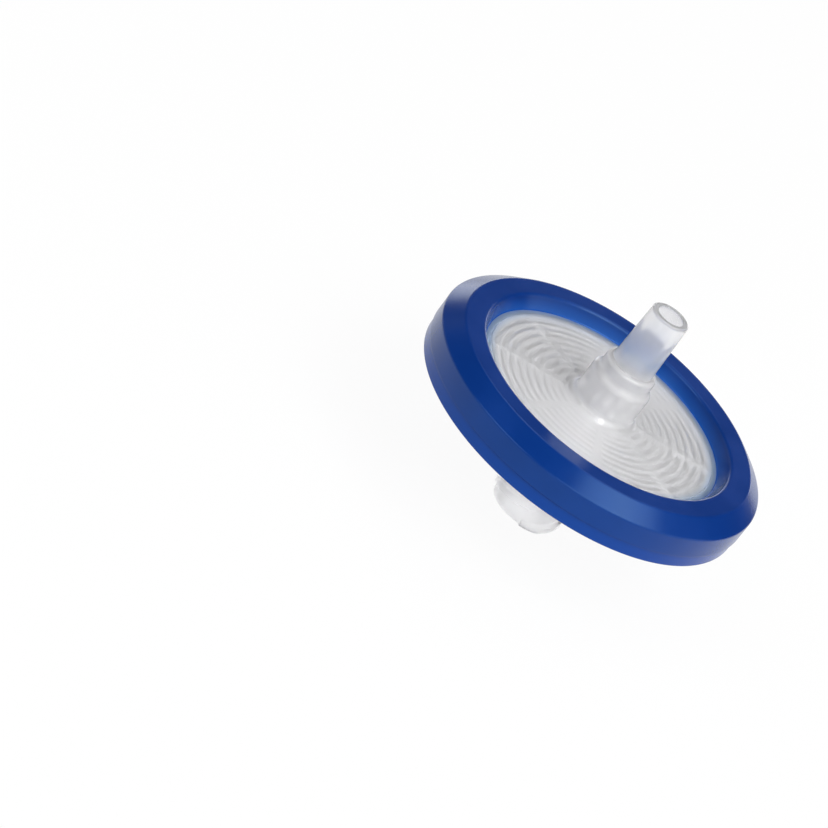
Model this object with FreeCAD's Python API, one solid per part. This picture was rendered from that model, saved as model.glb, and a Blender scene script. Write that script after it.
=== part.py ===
import FreeCAD, Part
import math
import os

# Syringe filter: a moulded ring holds two clear housing halves on a round membrane.
# It stands on its inlet rim, centred on Z. Flow runs up +Z, out through the slip tip.
# All sizes are in millimetres.

os.makedirs("parts", exist_ok=True)

V = FreeCAD.Vector
AXIS_POINT = V(0, 0, 0)
AXIS = V(0, 0, 1)

# overall sizes
ring_od = 36.0
ring_height = 5.0
hub_length = 10.25
tip_rise = 10.4

# moulded ring
top_chamfer_radial = 1.8
top_chamfer_axial = 1.35
top_face_width = 2.25
top_inner_chamfer = 0.25
top_wall_slope = 0.7
bottom_inset = 0.15
bottom_chamfer = 0.15
bottom_face_width = 3.9
bottom_inner_chamfer = 0.25
parting_height = 1.41
foot_ledge_width = 0.35
foot_ledge_height = 0.4

# clear housing halves
inlet_recess = 1.8
inlet_plate_thick = 0.6
inlet_rib_height = 0.2
outlet_rib_height = 0.2
outlet_plate_thick = 0.75
plate_step = 0.15
plate_step_inset = 0.7
flange_width = 2.75

# membrane, clamped between the two flanges
membrane_thick = 0.15

# drainage rings on the outlet side, with the channels that cross them, and radial ribs on the inlet side
rib_pitch = 1.57
rib_width = 0.7
rib_first = 4.2
inlet_rib_start = 2.0
channel_count = 8
channel_width = 0.95
channel_start = 1.3
channel_phase = 15.0

# outlet boss and slip tip, 6 percent luer taper
luer_taper = 0.06
tip_end_d = 4.0
tip_length = 6.5
tip_end_round = 0.25
boss_d = 5.5
boss_top_round = 0.4
boss_neck = 1.4
boss_step = 0.5
boss_shoulder = 0.45
boss_fillet = 0.7
outlet_bore_d = 2.7

# inlet hub, luer-lock socket
socket_mouth_d = 4.3
socket_chamfer = 0.2
socket_depth = 8.5
socket_straight = 1.0
inlet_hole_d = 2.4
hub_d = 6.9
hub_rim_chamfer = 0.2
hub_fillet = 0.8

# double-start luer-lock thread on the hub
thread_starts = 2
thread_lead = 5.0
thread_crest_d = 7.8
thread_crest_width = 0.5
thread_base_width = 1.25
thread_bite = 0.25
thread_turns = 0.55
thread_phase = -80.0
thread_low = 0.12
thread_fade = 0.5

# heights worked out from the sizes above
z_inlet_face = hub_length
z_outlet_face = z_inlet_face + ring_height
z_tip_end = z_outlet_face + tip_rise
z_inlet_plate = z_inlet_face + inlet_recess
z_inlet_floor = z_inlet_plate + inlet_plate_thick
z_membrane = z_inlet_floor + inlet_rib_height
z_split = z_membrane + membrane_thick
z_outlet_floor = z_split + outlet_rib_height
z_outlet_plate = z_outlet_floor + outlet_plate_thick
z_flange_top = z_outlet_plate - plate_step
z_boss_top = z_tip_end - tip_length

# radii worked out from the sizes above
r_ring = ring_od / 2
r_top_outer = r_ring - top_chamfer_radial
r_top_inner = r_top_outer - top_face_width
r_top_foot = r_top_inner - top_wall_slope
r_bottom = r_ring - bottom_inset
r_bottom_inner = r_ring - bottom_face_width
r_bottom_foot = r_bottom_inner - foot_ledge_width
r_flange = r_top_foot + flange_width
r_plate_step = r_top_foot - plate_step_inset
r_chamber = r_plate_step + rib_width / 2


def soft_corner(before, corner, after, radius):
    """Start, middle and end of the two flats that ease one corner along its arc."""
    to_before = (before - corner).normalize()
    to_after = (after - corner).normalize()
    half = to_before.getAngle(to_after) / 2
    reach = radius / math.tan(half)
    inward = (to_before + to_after).normalize()
    middle = corner + inward * (radius / math.sin(half) - radius)
    return corner + to_before * reach, middle, corner + to_after * reach


def outline(corners):
    """Face in the r-z plane whose corners are (r, z) or (r, z, easing radius)."""
    points = [V(c[0], 0, c[1]) for c in corners]
    run = []
    for i, corner in enumerate(corners):
        if len(corner) == 3:
            after = points[(i + 1) % len(points)]
            run += soft_corner(points[i - 1], points[i], after, corner[2])
        else:
            run.append(points[i])
    return Part.Face(Part.makePolygon(run + run[:1]))


def turned(corners):
    """Solid of revolution about Z."""
    return outline(corners).revolve(AXIS_POINT, AXIS, 360)


def ring_inner_corners():
    """The ring's inside: outlet wall, the groove round both flanges, inlet wall."""
    z_ledge = z_inlet_plate - foot_ledge_height
    z_bottom_wall = z_inlet_face + bottom_inner_chamfer
    return [
        (r_top_inner + top_inner_chamfer, z_outlet_face),
        (r_top_inner, z_outlet_face - top_inner_chamfer),
        (r_top_foot, z_flange_top),
        (r_flange, z_flange_top),
        (r_flange, z_inlet_plate),
        (r_bottom_foot, z_inlet_plate),
        (r_bottom_inner, z_ledge),
        (r_bottom_inner, z_bottom_wall),
        (r_bottom_inner + bottom_inner_chamfer, z_inlet_face),
    ]


def ring_outer_corners():
    """The ring's outside, from the inlet face up over the parting line to the chamfer."""
    z_parting = z_inlet_face + parting_height
    z_chamfer = z_outlet_face - top_chamfer_axial
    return [
        (r_bottom - bottom_chamfer, z_inlet_face),
        (r_bottom, z_inlet_face + bottom_chamfer),
        (r_bottom, z_parting),
        (r_ring, z_parting),
        (r_ring, z_chamfer),
        (r_top_outer, z_outlet_face),
    ]


def ring():
    return turned(ring_outer_corners() + ring_inner_corners())


def drainage_ring_corners():
    """Outline of the outlet's drainage rings, from the centre out to the chamber's wall."""
    corners = []
    half = rib_width / 2
    r = rib_first
    while r + half + rib_pitch / 2 < r_chamber:
        corners += [(r - half, z_outlet_floor), (r, z_split), (r + half, z_outlet_floor)]
        r += rib_pitch
    return corners + [(r_chamber, z_outlet_floor), (r_chamber, z_split)]


def spaced_round(shape, count, phase):
    """Copies of one shape, evenly spaced about Z."""
    copies = []
    for i in range(count):
        turned_copy = shape.copy()
        turned_copy.rotate(AXIS_POINT, AXIS, phase + 360.0 / count * i)
        copies.append(turned_copy)
    return copies


def crossing_channels():
    """Radial channels that cut through the drainage rings."""
    length = r_chamber - channel_start
    channel = Part.makeBox(length, channel_width, outlet_rib_height + membrane_thick)
    channel.translate(V(channel_start, -channel_width / 2, z_membrane))
    return spaced_round(channel, channel_count, channel_phase)


def radial_ribs():
    """Ridged ribs that hold the membrane off the inlet plate, clear of the chamber's wall."""
    half = rib_width / 2
    z_root = z_inlet_floor - inlet_plate_thick / 2
    section = Part.makePolygon([
        V(inlet_rib_start, -half, z_root),
        V(inlet_rib_start, -half, z_inlet_floor),
        V(inlet_rib_start, 0, z_membrane),
        V(inlet_rib_start, half, z_inlet_floor),
        V(inlet_rib_start, half, z_root),
        V(inlet_rib_start, -half, z_root),
    ])
    length = r_chamber - rib_width - inlet_rib_start
    rib = Part.Face(section).extrude(V(length, 0, 0))
    return spaced_round(rib, channel_count, channel_phase)


def outlet_bore_corners():
    """The outlet's flow bore from the chamber up to the tip's end."""
    r_bore = outlet_bore_d / 2
    return [
        (r_bore, z_outlet_floor),
        (r_bore, z_tip_end),
    ]


def outlet_outside_corners():
    """The slip tip, the two-step boss and the stepped plate out to the flange."""
    r_tip = tip_end_d / 2
    r_tip_foot = r_tip + luer_taper / 2 * tip_length
    r_boss = boss_d / 2
    r_foot = r_boss + boss_step
    z_neck = z_boss_top - boss_neck
    return [
        (r_tip, z_tip_end, tip_end_round),
        (r_tip_foot, z_boss_top),
        (r_boss, z_boss_top, boss_top_round),
        (r_boss, z_neck),
        (r_foot, z_neck - boss_shoulder),
        (r_foot, z_outlet_plate, boss_fillet),
        (r_plate_step, z_outlet_plate),
        (r_plate_step + plate_step / 2, z_flange_top),
        (r_flange, z_flange_top),
        (r_flange, z_split),
    ]


def outlet_housing():
    """Clear outlet half: flange, drainage rings, boss and slip tip in one moulding."""
    rings = drainage_ring_corners()
    body = turned(outlet_bore_corners() + outlet_outside_corners() + rings[::-1])
    return body.cut(crossing_channels()).removeSplitter()


def inlet_socket_corners():
    """The luer socket: its taper from the mouth, a straight end, and the hole to the chamber."""
    r_mouth = socket_mouth_d / 2
    z_taper_end = socket_depth - socket_straight
    r_end = r_mouth - luer_taper / 2 * (z_taper_end - socket_chamfer)
    r_hole = inlet_hole_d / 2
    return [
        (r_mouth + socket_chamfer, 0),
        (r_mouth, socket_chamfer),
        (r_end, z_taper_end),
        (r_end, socket_depth),
        (r_hole, socket_depth),
        (r_hole, z_inlet_floor),
    ]


def inlet_outside_corners():
    """The flange that clamps the membrane, the plate and the hub's outside."""
    return [
        (r_flange, z_membrane),
        (r_flange, z_inlet_plate),
        (hub_d / 2, z_inlet_plate, hub_fillet),
        (hub_d / 2, hub_rim_chamfer),
        (hub_d / 2 - hub_rim_chamfer, 0),
    ]


def thread_limits():
    """The band the thread may fill: full height at the rim, fading out at its top."""
    rise = thread_lead * thread_turns
    r_crest = thread_crest_d / 2
    r_root = hub_d / 2
    return turned([
        (r_root - thread_bite, thread_low),
        (r_crest - thread_fade / 4, thread_low),
        (r_crest, thread_low + thread_fade / 2),
        (r_crest, rise - thread_fade),
        (r_root - thread_bite, rise + thread_fade),
    ])


def thread_start():
    """One start of the right-hand thread, its base sunk into the hub's wall."""
    r_base = hub_d / 2 - thread_bite
    r_over = thread_crest_d / 2 + thread_bite
    height = r_over - r_base
    flank = (thread_base_width - thread_crest_width) / 2
    half_over = thread_crest_width / 2 - flank * thread_bite / height
    half_base = thread_base_width / 2
    path = Part.Wire(Part.makeHelix(thread_lead, thread_lead * thread_turns, r_base))
    section = Part.makePolygon([
        V(r_base, 0, -half_base),
        V(r_over, 0, -half_over),
        V(r_over, 0, half_over),
        V(r_base, 0, half_base),
        V(r_base, 0, -half_base),
    ])
    return path.makePipeShell([section], True, True).common(thread_limits())


def inlet_housing():
    """Clear inlet half: hub with luer-lock thread, plate, radial ribs and flange."""
    chamber_wall = [(r_chamber, z_inlet_floor), (r_chamber, z_membrane)]
    body = turned(inlet_socket_corners() + chamber_wall + inlet_outside_corners())
    threads = spaced_round(thread_start(), thread_starts, thread_phase)
    return body.fuse(radial_ribs() + threads).removeSplitter()


def membrane():
    """Thin filter disc, flat between the two sets of drainage rings."""
    return Part.makeCylinder(r_flange, membrane_thick, V(0, 0, z_membrane))


def save(shape, node):
    """One STEP file for each moulded piece."""
    solids = shape.Solids
    if len(solids) != 1 or not shape.isValid():
        raise ValueError(node + " is not one sound solid")
    print(node, round(solids[0].Volume, 2), "mm3")
    solids[0].exportStep("parts/" + node + ".step")


save(ring(), "ring")
save(inlet_housing(), "inlet_housing")
save(outlet_housing(), "outlet_housing")
save(membrane(), "membrane")
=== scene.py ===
import math

import bmesh
import bpy
from mathutils import Matrix, Vector


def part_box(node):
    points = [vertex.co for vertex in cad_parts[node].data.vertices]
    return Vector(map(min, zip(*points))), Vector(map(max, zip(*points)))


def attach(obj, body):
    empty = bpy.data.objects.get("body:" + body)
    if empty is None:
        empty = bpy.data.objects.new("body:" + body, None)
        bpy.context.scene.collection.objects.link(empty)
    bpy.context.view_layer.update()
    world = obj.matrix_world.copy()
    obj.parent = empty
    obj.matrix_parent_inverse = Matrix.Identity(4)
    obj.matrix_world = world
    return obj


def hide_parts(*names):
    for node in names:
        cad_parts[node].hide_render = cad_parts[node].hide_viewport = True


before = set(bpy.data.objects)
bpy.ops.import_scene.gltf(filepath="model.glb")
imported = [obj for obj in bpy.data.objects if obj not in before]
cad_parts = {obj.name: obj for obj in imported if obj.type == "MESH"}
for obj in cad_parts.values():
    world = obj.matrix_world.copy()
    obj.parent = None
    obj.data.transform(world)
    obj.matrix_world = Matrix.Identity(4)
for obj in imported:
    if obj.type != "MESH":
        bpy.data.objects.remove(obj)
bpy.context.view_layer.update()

# The syringe filter stands on its inlet rim, centred on Z, with the slip tip up.
# Sizes are in metres, and those of the detail are written as millimetres times MM.
MM = 0.001

ring_low, ring_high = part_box("ring")
_, inlet_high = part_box("inlet_housing")
outlet_low, outlet_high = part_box("outlet_housing")

# ring
r_ring = ring_high.x
z_inlet_face = ring_low.z
z_outlet_face = ring_high.z
top_chamfer = Vector((1.8, 1.35)) * MM
top_face_width = 2.25 * MM
top_wall_slope = 0.7 * MM
bottom_inset = 0.15 * MM
bottom_face_width = 3.9 * MM
parting_height = 1.41 * MM
parting_depth = 0.06 * MM
parting_width = 0.07 * MM
foot_ledge_width = 0.35 * MM
foot_ledge_height = 0.4 * MM
foot_lap = 0.3 * MM
ledge_lap = 0.1 * MM
# The ring is sunk this far into the clear flanges, because plastic that is moulded on has no air film there.
weld = 0.03 * MM

# ring's rounds
bottom_round = 0.15 * MM
lip_round = 0.05 * MM
wall_low_round = 0.08 * MM
wall_high_round = 0.25 * MM
top_outer_round = 0.45 * MM
top_inner_round = 0.4 * MM
top_foot_round = 0.25 * MM
ledge_round = 0.1 * MM
bottom_inner_round = 0.35 * MM

# clear halves
r_flange = inlet_high.x
z_membrane = inlet_high.z
z_split = outlet_low.z
inlet_recess = 1.8 * MM
inlet_plate_thick = 0.6 * MM
outlet_rib_height = 0.2 * MM
outlet_plate_thick = 0.75 * MM
plate_step = 0.15 * MM
plate_step_inset = 0.7 * MM
chamber_lap = 0.35 * MM
chamber_ledge = 0.2 * MM
edge_round = 0.05 * MM
chamber_round = 0.08 * MM

# drainage rings, cut by radial channels
rib_pitch = 0.945 * MM
rib_width = 0.8 * MM
rib_first = 2.45 * MM
rib_count = 11
channel_count = 8
channel_width = 0.95 * MM
channel_phase = math.radians(15.0)
channel_draft = 0.08 * MM

# outlet boss and slip tip
luer_taper = 0.06
r_tip_end = 2.0 * MM
tip_length = 6.5 * MM
r_boss = 2.75 * MM
boss_neck = 1.4 * MM
boss_step = 0.5 * MM
boss_shoulder = 0.45 * MM
r_outlet_bore = 1.35 * MM
bore_foot_round = 0.15 * MM
bore_end_round = 0.14 * MM
tip_end_round = 0.25 * MM
tip_foot_round = 0.12 * MM
boss_top_round = 0.4 * MM
shoulder_round = 0.6 * MM
boss_foot_round = 0.7 * MM

# inlet hub with its luer socket and double-start thread
r_hub = 3.45 * MM
r_socket_mouth = 2.15 * MM
socket_chamfer = 0.2 * MM
socket_depth = 8.5 * MM
socket_straight = 1.0 * MM
socket_round = 0.1 * MM
r_inlet_hole = 1.2 * MM
hub_rim_chamfer = 0.2 * MM
hub_rim_ease_in = 0.02 * MM
hub_rim_ease_up = 0.08 * MM
hub_foot_round = 0.8 * MM
hub_foot_height = 1.5 * MM
thread_starts = 2
thread_lead = 5.0 * MM
thread_turns = 0.55
thread_run_out = 0.08
thread_phase = math.radians(-80.0)
thread_height = 0.45 * MM
thread_crest_width = 0.5 * MM
thread_base_width = 1.25 * MM
thread_low = 0.12 * MM

# heights and radii worked out from the sizes above
z_tip_end = outlet_high.z
z_boss_top = z_tip_end - tip_length
z_inlet_plate = z_inlet_face + inlet_recess
z_inlet_floor = z_inlet_plate + inlet_plate_thick
z_outlet_floor = z_split + outlet_rib_height
z_outlet_plate = z_outlet_floor + outlet_plate_thick
z_flange_top = z_outlet_plate - plate_step
z_parting = z_inlet_face + parting_height
r_top_inner = r_ring - top_chamfer.x - top_face_width
r_top_foot = r_top_inner - top_wall_slope
r_bottom = r_ring - bottom_inset
r_bottom_inner = r_ring - bottom_face_width
r_bottom_foot = r_bottom_inner - foot_ledge_width
r_plate_step = r_top_foot - plate_step_inset
r_chamber = r_plate_step + chamber_lap

# how finely the meshes are divided
arc_flats = 6
# A loop this far beyond each end of an arc keeps the smooth shading on the arc.
hold = 0.03 * MM
ring_columns = 320
sector_columns = 32
channel_columns = 5
columns = sector_columns * channel_count
rib_flats = 6
thread_rows = 60
crease_angle = math.radians(32)

# noises, as scale per metre and detail
ring_clouds = (160, 3)
ring_grain = (9000, 2)
natural_clouds = (300, 3)
natural_grain = (4000, 2)
disc_fibres = (6000, 4)
# the middle of a noise, where most of it lies: spread over a range, and split between two colours
noise_span = (0.3, 0.7)
tone_stops = (0.35, 0.65)

# reliefs, as strength and distance
ring_relief = (0.12, 0.02 * MM)
natural_relief = (1.0, 0.002 * MM)
disc_relief = (0.3, 0.03 * MM)

# colours, as linear red, green and blue
ring_blues = ((0.002, 0.030, 0.195), (0.003, 0.035, 0.220))
# painted glow: a brighter, deeper blue on the lower lip, standing in for light through the translucent
# plastic there
lip_glow_blue = (0.001, 0.038, 0.265)
# painted glow: a paler blue at the foot of the inner wall, for light coming through from the clear half
foot_glow_blue = (0.010, 0.080, 0.38)
gloss_blue = (0.35, 0.65, 1.0, 1)
natural_whites = ((0.95, 0.95, 0.97), (0.96, 0.955, 0.97))
# painted glow: the ring's blue as it shows through the clear plastic by refraction
ring_glow_blue = (0.45, 0.64, 0.97)
disc_whites = ((0.84, 0.84, 0.84), (0.91, 0.91, 0.905))
# greyer under the drainage ribs: partly the marks they press in, partly painted shade under them
disc_rib_grey = (0.70, 0.70, 0.72)

# roughness and transmission, which the clear halves have in fours: plates, boss, tip and hub
ring_roughness = (0.19, 0.25)
milky_transmission = (0.56, 0.60, 0.66, 0.88)
milky_roughness = (0.12, 0.18, 0.07, 0.29)
inner_transmission = (1.0, 1.0, 1.0, 1.0)
inner_roughness = (0.20, 0.20, 0.03, 0.35)
natural_cloud_roughness = (0.0, 0.04)
disc_roughness = 0.8
plastic_ior = 1.49
milk_scale = 1.0 * MM
# how strong the painted glow of the ring's blue is low on the tip, where beside the ring it is 1
ring_glow_on_tip_share = 0.42
# how high a sink mark stands, counted in heights of the grain
sink_depth = -8.0

# heights and radii between which one look goes over to the next
# where the painted glow of the lower lip comes in
lip_glow_fade = (z_parting + 0.2 * MM, z_parting - 0.4 * MM)
# where the painted glow at the foot of the inner wall comes in, across and then up
inner_wall_fade = (r_top_inner + 0.5 * MM, r_top_inner)
foot_glow_fade = (z_flange_top + 1.1 * MM, z_flange_top)
boss_fade = (z_outlet_plate + 0.2 * MM, z_outlet_plate + 0.8 * MM)
tip_fade = (z_boss_top, z_boss_top + 0.8 * MM)
hub_fade = (z_inlet_plate + 0.5 * MM, z_inlet_plate - 1.5 * MM)
# where the painted glow of the ring's blue lies in the clear plastic
ring_glow_beside_ring = (r_top_foot - 1.4 * MM, r_top_foot - 0.1 * MM)
ring_glow_above_boss = (z_boss_top + 0.2 * MM, z_boss_top + 1.8 * MM)
ring_glow_low_on_tip = (z_boss_top + 5.0 * MM, z_boss_top + 1.0 * MM)
sink_fade = (z_outlet_plate + 0.4 * MM, z_outlet_plate + 0.2 * MM)
# cosines, between the middle of a channel and the rib beside it
channel_fade = (0.95, 0.80)
# how far a face may lie outside the bore or the chamber and still count as one of its own
inside_margin = 0.03 * MM

# studio
floor_half = 3.0
floor_white = (0.92, 0.92, 0.92, 1)
floor_roughness = 0.9
# how much of what the camera sees of the floor is plain white, which takes no shadow
floor_glow = 0.94
world_white = (1, 1, 1, 1)
# how strongly the world lights, where the white that is seen of it is 1
world_level = 0.05
softbox_distance = 0.8
# name, azimuth and elevation in degrees, width and height in metres, power in watts
softboxes = [
    ("high_right", -8, 65, 0.37, 0.37, 1.3),
    ("front", -35, 28, 2.4, 0.9, 6.5),
    ("front_high", -45, 50, 0.6, 0.5, 2.8),
    ("front_left", -135, 45, 0.5, 0.5, 1.9),
    ("left", 175, 15, 1.2, 0.5, 0.8),
    ("back", 90, 62, 0.5, 0.5, 1.0),
    ("backdrop", 98, 3, 0.9, 0.25, 1.5),
]

# camera: its right and up, and how many millimetres its eye lies back, left and down from the ring's top
camera_right = Vector((0.789302, 0.310037, 0.529980))
camera_up = Vector((-0.612941, 0.347073, 0.709820))
eye_back = 380.38
eye_left = 18.66
eye_down = 1.82
camera_lens = 173.9
camera_sensor = 36.0
camera_clip_start = 0.01


def rounded(corners):
    """Points of an outline whose corners are (r, z) or (r, z, radius), each round drawn as an arc."""
    points = [Vector(c[:2]) for c in corners]
    run = []
    for i, corner in enumerate(corners):
        if len(corner) == 2:
            run.append(points[i])
            continue
        to_before = (points[i - 1] - points[i]).normalized()
        to_after = (points[(i + 1) % len(points)] - points[i]).normalized()
        half = to_before.angle(to_after) / 2
        reach = corner[2] / math.tan(half)
        centre = points[i] + (to_before + to_after).normalized() * corner[2] / math.sin(half)
        start = points[i] + to_before * reach - centre
        turns_right = start.x * to_before.y - start.y * to_before.x < 0
        sweep = (math.pi - 2 * half) * (1 if turns_right else -1)
        run.append(points[i] + to_before * (reach + hold))
        for k in range(arc_flats + 1):
            run.append(centre + Matrix.Rotation(sweep * k / arc_flats, 2) @ start)
        run.append(points[i] + to_after * (reach + hold))
    return run


def mesh_piece(name, loops):
    """A closed mesh from loops of as many points each, the last one joined to the first."""
    width = len(loops[0])
    vertices = [point for loop in loops for point in loop]
    faces = []
    for i in range(len(loops)):
        low = i * width
        high = (i + 1) % len(loops) * width
        for j in range(width):
            k = (j + 1) % width
            faces.append((low + j, low + k, high + k, high + j))
    mesh = bpy.data.meshes.new(name)
    mesh.from_pydata(vertices, [], faces)
    shell = bmesh.new()
    shell.from_mesh(mesh)
    bmesh.ops.recalc_face_normals(shell, faces=shell.faces)
    shell.to_mesh(mesh)
    shell.free()
    mesh.shade_smooth()
    mesh.set_sharp_from_angle(angle=crease_angle)
    piece = bpy.data.objects.new(name, mesh)
    bpy.context.scene.collection.objects.link(piece)
    return piece


def at(r, angle, z):
    """The point at this distance from the axis, angle round it and height."""
    return r * math.cos(angle), r * math.sin(angle), z


def around(r, z, count):
    """One level loop of points at radius r."""
    turn = 2 * math.pi / count
    return [at(r, channel_phase + turn * j, z) for j in range(count)]


def lathe_loops(outline, count):
    return [around(p.x, p.y, count) for p in outline]


def build_ring():
    z_ledge = z_inlet_plate - foot_ledge_height
    outline = rounded([
        (r_bottom, z_inlet_face, bottom_round),
        (r_bottom, z_parting - parting_width / 2, lip_round),
        (r_bottom - parting_depth, z_parting),
        (r_ring, z_parting + parting_width / 2, wall_low_round),
        (r_ring, z_outlet_face - top_chamfer.y, wall_high_round),
        (r_ring - top_chamfer.x, z_outlet_face, top_outer_round),
        (r_top_inner, z_outlet_face, top_inner_round),
        (r_top_foot, z_flange_top, top_foot_round),
        (r_top_foot - foot_lap, z_flange_top - weld),
        (r_flange - weld, z_flange_top - weld),
        (r_flange - weld, z_inlet_plate + weld),
        (r_bottom_foot - ledge_lap, z_inlet_plate + weld),
        (r_bottom_foot, z_ledge, ledge_round),
        (r_bottom_inner, z_ledge, ledge_round),
        (r_bottom_inner, z_inlet_face, bottom_inner_round),
    ])
    return mesh_piece("ring_moulding", lathe_loops(outline, ring_columns))


def rib_angles(r):
    """The columns' angles at radius r: five across each channel, the rest along the rib between two."""
    sector = 2 * math.pi / channel_count
    edge = math.asin(channel_width / 2 / r)
    start = edge + channel_draft / r
    along = sector_columns - channel_columns
    angles = [edge * (2 * k / (channel_columns - 1) - 1) for k in range(channel_columns)]
    angles += [start + (sector - 2 * start) * k / (along - 1) for k in range(along)]
    return [channel_phase + sector * s + a for s in range(channel_count) for a in angles]


def rib_loops(z_floor, rise):
    """Loops across the chamber's floor, from the innermost drainage ring out to the wall."""
    rib_here = ([0] * channel_columns + [1] * (sector_columns - channel_columns)) * channel_count
    loops = []
    for i in range(rib_count):
        for k in range(rib_flats + 1):
            across = 2 * k / rib_flats - 1
            r = rib_first + rib_pitch * i + rib_width / 2 * across
            height = rise * (1 + math.cos(math.pi * across)) / 2
            loops.append([at(r, a, z_floor + height * b) for a, b in zip(rib_angles(r), rib_here)])
    return loops


def build_outlet():
    r_tip_foot = r_tip_end + luer_taper / 2 * tip_length
    r_foot = r_boss + boss_step
    z_neck = z_boss_top - boss_neck
    outline = rounded([
        (r_outlet_bore, z_outlet_floor, bore_foot_round),
        (r_outlet_bore, z_tip_end, bore_end_round),
        (r_tip_end, z_tip_end, tip_end_round),
        (r_tip_foot, z_boss_top, tip_foot_round),
        (r_boss, z_boss_top, boss_top_round),
        (r_boss, z_neck, shoulder_round),
        (r_foot, z_neck - boss_shoulder, shoulder_round),
        (r_foot, z_outlet_plate, boss_foot_round),
        (r_plate_step, z_outlet_plate, edge_round),
        (r_plate_step + plate_step / 2, z_flange_top),
        (r_flange, z_flange_top),
        (r_flange, z_split),
        (r_chamber, z_split, edge_round),
        (r_chamber, z_outlet_floor, chamber_round),
    ])
    ribs = rib_loops(z_outlet_floor, z_split - z_outlet_floor)
    return mesh_piece("outlet_moulding", lathe_loops(outline, columns) + ribs[::-1])


def thread_rise(angle, z):
    """How far the thread stands out of the hub at this place, from 0 to its full height."""
    best = 0.0
    for start in range(thread_starts):
        turns = ((angle - thread_phase) / (2 * math.pi) - start / thread_starts) % 1.0
        if turns > thread_turns:
            continue
        off = abs(z - thread_lead * turns)
        flank = (thread_base_width - thread_crest_width) / 2
        part = min(max((thread_base_width / 2 - off) / flank, 0.0), 1.0)
        fade = min(max((thread_turns - turns) / thread_run_out, 0.0), 1.0)
        best = max(best, part * part * (3 - 2 * part) * fade)
    return best * thread_height


def thread_loops():
    """Loops up the hub's outside from the rim, carrying the double-start thread."""
    top = thread_lead * thread_turns + thread_base_width
    loops = [
        around(r_hub - hub_rim_chamfer, 0.0, columns),
        around(r_hub - hub_rim_ease_in, hub_rim_ease_up, columns),
    ]
    for i in range(thread_rows + 1):
        z = thread_low + (top - thread_low) * i / thread_rows
        angles = [channel_phase + 2 * math.pi * j / columns for j in range(columns)]
        loops.append([at(r_hub + thread_rise(a, z), a, z) for a in angles])
    return loops


def build_inlet():
    z_taper_end = socket_depth - socket_straight
    r_socket_end = r_socket_mouth - luer_taper / 2 * (z_taper_end - socket_chamfer)
    inside = rounded([
        (rib_first, z_inlet_floor),
        (r_inlet_hole, z_inlet_floor, socket_round),
        (r_inlet_hole, socket_depth, edge_round),
        (r_socket_end, socket_depth, socket_round),
        (r_socket_end, z_taper_end),
        (r_socket_mouth, socket_chamfer, socket_round),
        (r_socket_mouth + socket_chamfer, 0.0),
    ])
    outside = rounded([
        (r_hub, z_inlet_plate - hub_foot_height),
        (r_hub, z_inlet_plate, hub_foot_round),
        (r_flange, z_inlet_plate),
        (r_flange, z_membrane),
        (r_chamber, z_membrane, edge_round),
        (r_chamber, z_inlet_floor, chamber_round),
        (r_chamber - chamber_ledge, z_inlet_floor),
    ])
    ribs = rib_loops(z_inlet_floor, z_membrane - z_inlet_floor)
    loops = lathe_loops(inside[1:], columns) + thread_loops() + lathe_loops(outside, columns)
    return mesh_piece("inlet_moulding", loops + ribs[::-1])


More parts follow.
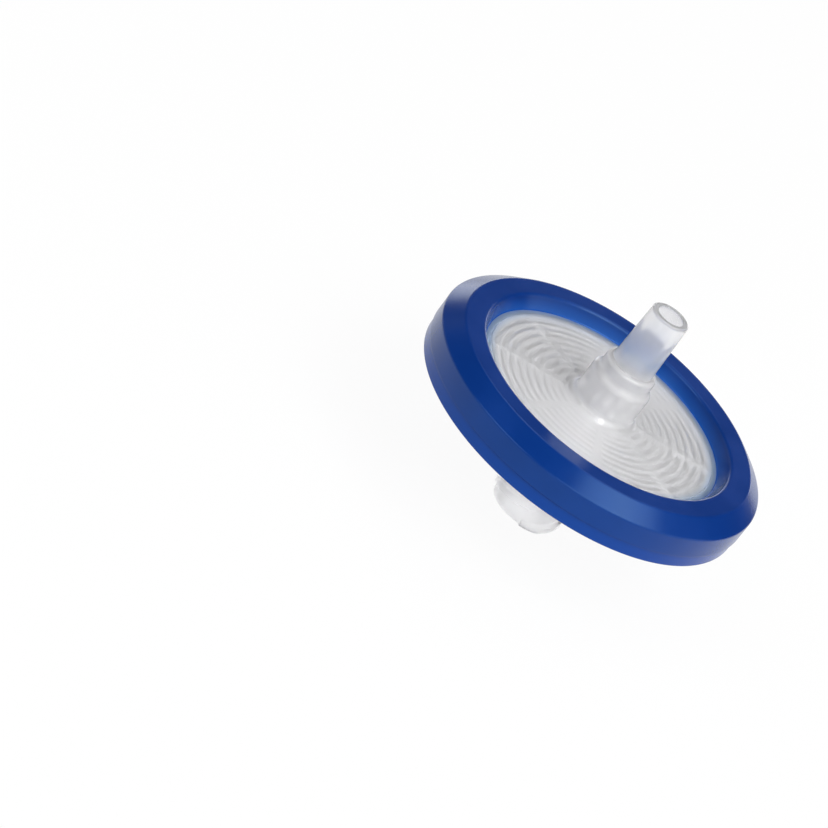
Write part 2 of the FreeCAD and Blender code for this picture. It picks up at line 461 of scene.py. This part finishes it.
class Tree:
    """A node tree, with the few kinds of step that the looks here are made of."""

    def __init__(self, owner):
        owner.use_nodes = True
        self.nodes = owner.node_tree.nodes
        self.links = owner.node_tree.links

    def give(self, socket, value):
        """Sets a number or colour on the socket, or links another socket to it."""
        if isinstance(value, bpy.types.NodeSocket):
            self.links.new(value, socket)
        else:
            socket.default_value = value

    def arithmetic(self, operation, *values):
        step = self.nodes.new("ShaderNodeMath")
        step.operation = operation
        for socket, value in zip(step.inputs, values):
            self.give(socket, value)
        return step.outputs[0]

    def remapped(self, value, source, target=(0.0, 1.0)):
        """The value with its source span stretched over the target span, and held at the ends."""
        step = self.nodes.new("ShaderNodeMapRange")
        for name, number in zip(("From Min", "From Max", "To Min", "To Max"), (*source, *target)):
            step.inputs[name].default_value = number
        self.links.new(value, step.inputs["Value"])
        return step.outputs["Result"]

    def noise(self, scale, detail):
        """Noise over the object's own coordinates, in metres."""
        place = self.nodes.new("ShaderNodeTexCoord")
        texture = self.nodes.new("ShaderNodeTexNoise")
        texture.inputs["Scale"].default_value = scale
        texture.inputs["Detail"].default_value = detail
        self.links.new(place.outputs["Object"], texture.inputs["Vector"])
        return texture.outputs["Fac"]

    def two_tone(self, value, tones):
        """The first colour where the noise is low, the second where it is high."""
        ramp = self.nodes.new("ShaderNodeValToRGB")
        for stop, position, tone in zip(ramp.color_ramp.elements, tone_stops, tones):
            stop.position = position
            stop.color = (*tone, 1)
        self.links.new(value, ramp.inputs["Fac"])
        return ramp.outputs["Color"]

    def blended(self, share, first, second):
        """The first colour's socket, going over to the second colour as the share goes from 0 to 1."""
        mix = self.nodes.new("ShaderNodeMix")
        mix.data_type = "RGBA"
        self.links.new(share, mix.inputs["Factor"])
        self.links.new(first, mix.inputs["A"])
        mix.inputs["B"].default_value = (*second, 1)
        return mix.outputs["Result"]

    def bump(self, height, strength, distance):
        relief = self.nodes.new("ShaderNodeBump")
        relief.inputs["Strength"].default_value = strength
        relief.inputs["Distance"].default_value = distance
        self.links.new(height, relief.inputs["Height"])
        return relief.outputs["Normal"]

    def axis_place(self):
        """Distance from the axis, angle round it and height, in metres and radians."""
        place = self.nodes.new("ShaderNodeTexCoord")
        parts = self.nodes.new("ShaderNodeSeparateXYZ")
        self.links.new(place.outputs["Object"], parts.inputs["Vector"])
        x, y, z = parts.outputs
        squares = [self.arithmetic("MULTIPLY", side, side) for side in (x, y)]
        distance = self.arithmetic("SQRT", self.arithmetic("ADD", *squares))
        return distance, self.arithmetic("ARCTAN2", y, x), z

    def any_ray(self, *kinds):
        """1 for a ray of any of these kinds, else 0."""
        path = self.nodes.new("ShaderNodeLightPath")
        seen = path.outputs[kinds[0]]
        for kind in kinds[1:]:
            seen = self.arithmetic("MAXIMUM", seen, path.outputs[kind])
        return seen


def node_material(name, looks):
    """A material whose shader gets what the looks function makes in its tree, input by input."""
    material = bpy.data.materials.new(name)
    tree = Tree(material)
    for socket, value in looks(tree).items():
        tree.give(tree.nodes["Principled BSDF"].inputs[socket], value)
    return material


def blue_plastic(tree):
    """Satin royal-blue polypropylene with faint flow clouds and a fine grain.

    It has painted glow: a brighter, deeper blue on the lower lip, and a paler blue at the foot of the inner
    wall, standing in for light through the translucent plastic.
    """
    clouds = tree.noise(*ring_clouds)
    grain = tree.noise(*ring_grain)
    distance, _, height = tree.axis_place()
    base = tree.two_tone(clouds, ring_blues)
    # painted glow on the lower lip
    painted_lip_glow = tree.blended(tree.remapped(height, lip_glow_fade), base, lip_glow_blue)
    # painted glow at the foot of the inner wall
    inner_wall = tree.remapped(distance, inner_wall_fade)
    painted_foot_glow = tree.arithmetic("MULTIPLY", inner_wall, tree.remapped(height, foot_glow_fade))
    return {
        "Base Color": tree.blended(painted_foot_glow, painted_lip_glow, foot_glow_blue),
        "Roughness": tree.remapped(clouds, noise_span, ring_roughness),
        "Normal": tree.bump(grain, *ring_relief),
        "IOR": plastic_ior,
        "Specular Tint": gloss_blue,
    }


def rib_pattern(tree):
    """1 along the drainage rings and 0 between them and in the radial channels."""
    distance, angle, _ = tree.axis_place()
    from_first = tree.arithmetic("SUBTRACT", distance, rib_first)
    ring_turns = tree.arithmetic("MULTIPLY", from_first, 2 * math.pi / rib_pitch)
    on_ring = tree.remapped(tree.arithmetic("COSINE", ring_turns), (-1.0, 1.0))
    from_channel = tree.arithmetic("SUBTRACT", angle, channel_phase)
    channel_turns = tree.arithmetic("MULTIPLY", from_channel, float(channel_count))
    off_channel = tree.remapped(tree.arithmetic("COSINE", channel_turns), channel_fade)
    return tree.arithmetic("MULTIPLY", on_ring, off_channel)


def by_part(tree, height, values):
    """The value for the plates, the boss, the tip or the hub. Where all four are the same, it is a number."""
    plate, boss, tip, hub = values
    total = plate
    for fade, step in ((boss_fade, boss - plate), (tip_fade, tip - boss), (hub_fade, hub - plate)):
        if step:
            part = tree.arithmetic("MULTIPLY", tree.remapped(height, fade), step)
            total = tree.arithmetic("ADD", part, total)
    return total


def painted_ring_glow(tree, distance, height):
    """Where the ring's blue is painted into the milky plastic as glow: beside the ring, and weaker low on the
    tip.
    """
    above_boss = tree.remapped(height, ring_glow_above_boss)
    on_tip = tree.arithmetic("MULTIPLY", above_boss, tree.remapped(height, ring_glow_low_on_tip))
    weaker = tree.arithmetic("MULTIPLY", on_tip, ring_glow_on_tip_share)
    return tree.arithmetic("MAXIMUM", weaker, tree.remapped(distance, ring_glow_beside_ring))


def with_sink_marks(tree, height, grain):
    """The grain, with a sink mark over each drainage ring, on the plate and below it."""
    marks = tree.arithmetic("MULTIPLY", rib_pattern(tree), tree.remapped(height, sink_fade))
    return tree.arithmetic("MULTIPLY_ADD", marks, sink_depth, grain)


def natural_plastic(tree, transmission, roughness, has_marks):
    """Natural polypropylene. Transmission and roughness each have a value for every part, as in by_part."""
    clouds = tree.noise(*natural_clouds)
    grain = tree.noise(*natural_grain)
    distance, _, height = tree.axis_place()
    base = tree.two_tone(clouds, natural_whites)
    cloudy = tree.remapped(clouds, noise_span, natural_cloud_roughness)
    relief = with_sink_marks(tree, height, grain) if has_marks else grain
    return {
        # painted glow of the ring's blue, beside the ring and low on the tip
        "Base Color": tree.blended(painted_ring_glow(tree, distance, height), base, ring_glow_blue),
        "Roughness": tree.arithmetic("ADD", by_part(tree, height, roughness), cloudy),
        "Transmission Weight": by_part(tree, height, transmission),
        "Normal": tree.bump(relief, *natural_relief),
        "IOR": plastic_ior,
        "Subsurface Weight": 1.0,
        "Subsurface Radius": (1.0, 1.0, 1.0),
        "Subsurface Scale": milk_scale,
    }


def milky_plastic(tree):
    """The clear halves' outer faces, a little milky, with sink marks over the ribs."""
    return natural_plastic(tree, milky_transmission, milky_roughness, True)


def inner_plastic(tree):
    """The faces in the chamber, bore and socket, where the milkiness isn't added a second time."""
    return natural_plastic(tree, inner_transmission, inner_roughness, False)


def filter_disc(tree):
    """Matt white membrane: fine fibres, and faint grey rings under the drainage ribs, partly the marks they
    press in and partly painted shade.
    """
    fibres = tree.noise(*disc_fibres)
    base = tree.two_tone(fibres, disc_whites)
    return {
        # grey under the ribs: pressed marks and painted shade
        "Base Color": tree.blended(rib_pattern(tree), base, disc_rib_grey),
        "Roughness": disc_roughness,
        "Normal": tree.bump(fibres, *disc_relief),
    }


def matt_floor(tree):
    return {
        "Base Color": floor_white,
        "Roughness": floor_roughness,
        "Specular IOR Level": 0.0,
    }


def line_inside(piece, material, r_inside, z_low, z_high):
    """Gives the material to the faces round the bore, and to those between two levels in the chamber."""
    piece.data.materials.append(material)
    for face in piece.data.polygons:
        in_bore = math.hypot(face.center.x, face.center.y) < r_inside + inside_margin
        if in_bore or z_low - inside_margin < face.center.z < z_high + inside_margin:
            face.material_index = 1


def add_piece(piece, node, material):
    piece.data.materials.append(material)
    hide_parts(node)
    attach(piece, "root")


def filter_pieces():
    milky = node_material("clear_polypropylene", milky_plastic)
    inner = node_material("clear_polypropylene_inside", inner_plastic)
    blue = node_material("blue_polypropylene", blue_plastic)
    add_piece(build_ring(), "ring", blue)
    outlet = build_outlet()
    add_piece(outlet, "outlet_housing", milky)
    line_inside(outlet, inner, r_outlet_bore, z_split, z_outlet_floor)
    inlet = build_inlet()
    add_piece(inlet, "inlet_housing", milky)
    line_inside(inlet, inner, r_socket_mouth, z_inlet_floor, z_membrane)
    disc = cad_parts["membrane"]
    disc.data.materials.clear()
    disc.data.materials.append(node_material("membrane", filter_disc))


def floor():
    """A wide white floor under the inlet rim, that still takes the shadow."""
    mesh = bpy.data.meshes.new("floor")
    corners = [
        (-floor_half, -floor_half, 0),
        (floor_half, -floor_half, 0),
        (floor_half, floor_half, 0),
        (-floor_half, floor_half, 0),
    ]
    mesh.from_pydata(corners, [], [(0, 1, 2, 3)])
    piece = bpy.data.objects.new("floor", mesh)
    bpy.context.scene.collection.objects.link(piece)
    material = node_material("floor_white", matt_floor)
    tree = Tree(material)
    glow = tree.nodes.new("ShaderNodeEmission")
    glow.inputs["Strength"].default_value = 1.0
    seen = tree.any_ray("Is Camera Ray", "Is Glossy Ray", "Is Transmission Ray")
    mix = tree.nodes.new("ShaderNodeMixShader")
    tree.links.new(tree.remapped(seen, (0.0, 1.0), (0.0, floor_glow)), mix.inputs["Fac"])
    tree.links.new(tree.nodes["Principled BSDF"].outputs["BSDF"], mix.inputs[1])
    tree.links.new(glow.outputs["Emission"], mix.inputs[2])
    tree.links.new(mix.outputs["Shader"], tree.nodes["Material Output"].inputs["Surface"])
    mesh.materials.append(material)


def studio():
    """Soft light: a plain dim world, white where it is seen, and large softboxes aimed at the ring."""
    world = bpy.data.worlds.new("studio")
    bpy.context.scene.world = world
    tree = Tree(world)
    background = tree.nodes["Background"]
    seen = tree.any_ray("Is Camera Ray", "Is Transmission Ray")
    tree.links.new(tree.remapped(seen, (0.0, 1.0), (world_level, 1.0)), background.inputs["Strength"])
    background.inputs["Color"].default_value = world_white

    centre = Vector((0, 0, z_outlet_face))
    for name, azimuth, elevation, width, height, watts in softboxes:
        rise = math.radians(elevation)
        towards = Vector(at(math.cos(rise), math.radians(azimuth), math.sin(rise)))
        data = bpy.data.lights.new(name, "AREA")
        data.shape = "RECTANGLE"
        data.size = width
        data.size_y = height
        data.energy = watts
        lamp = bpy.data.objects.new(name, data)
        lamp.location = centre + towards * softbox_distance
        lamp.rotation_euler = towards.to_track_quat("Z", "Y").to_euler()
        bpy.context.scene.collection.objects.link(lamp)


def camera():
    """Camera on the near side, rolled so the slip tip points up and to the right."""
    back = camera_right.cross(camera_up).normalized()
    up = back.cross(camera_right).normalized()
    ring_top = Vector((0, 0, z_outlet_face))
    eye = ring_top + back * eye_back * MM - camera_right * eye_left * MM - up * eye_down * MM
    data = bpy.data.cameras.new("camera")
    data.lens = camera_lens
    data.sensor_width = camera_sensor
    data.clip_start = camera_clip_start
    piece = bpy.data.objects.new("camera", data)
    turn = Matrix((camera_right.normalized(), up, back)).transposed()
    piece.matrix_world = Matrix.Translation(eye) @ turn.to_4x4()
    bpy.context.scene.collection.objects.link(piece)
    bpy.context.scene.camera = piece


filter_pieces()
floor()
studio()
camera()
bpy.context.scene.view_settings.view_transform = "Standard"
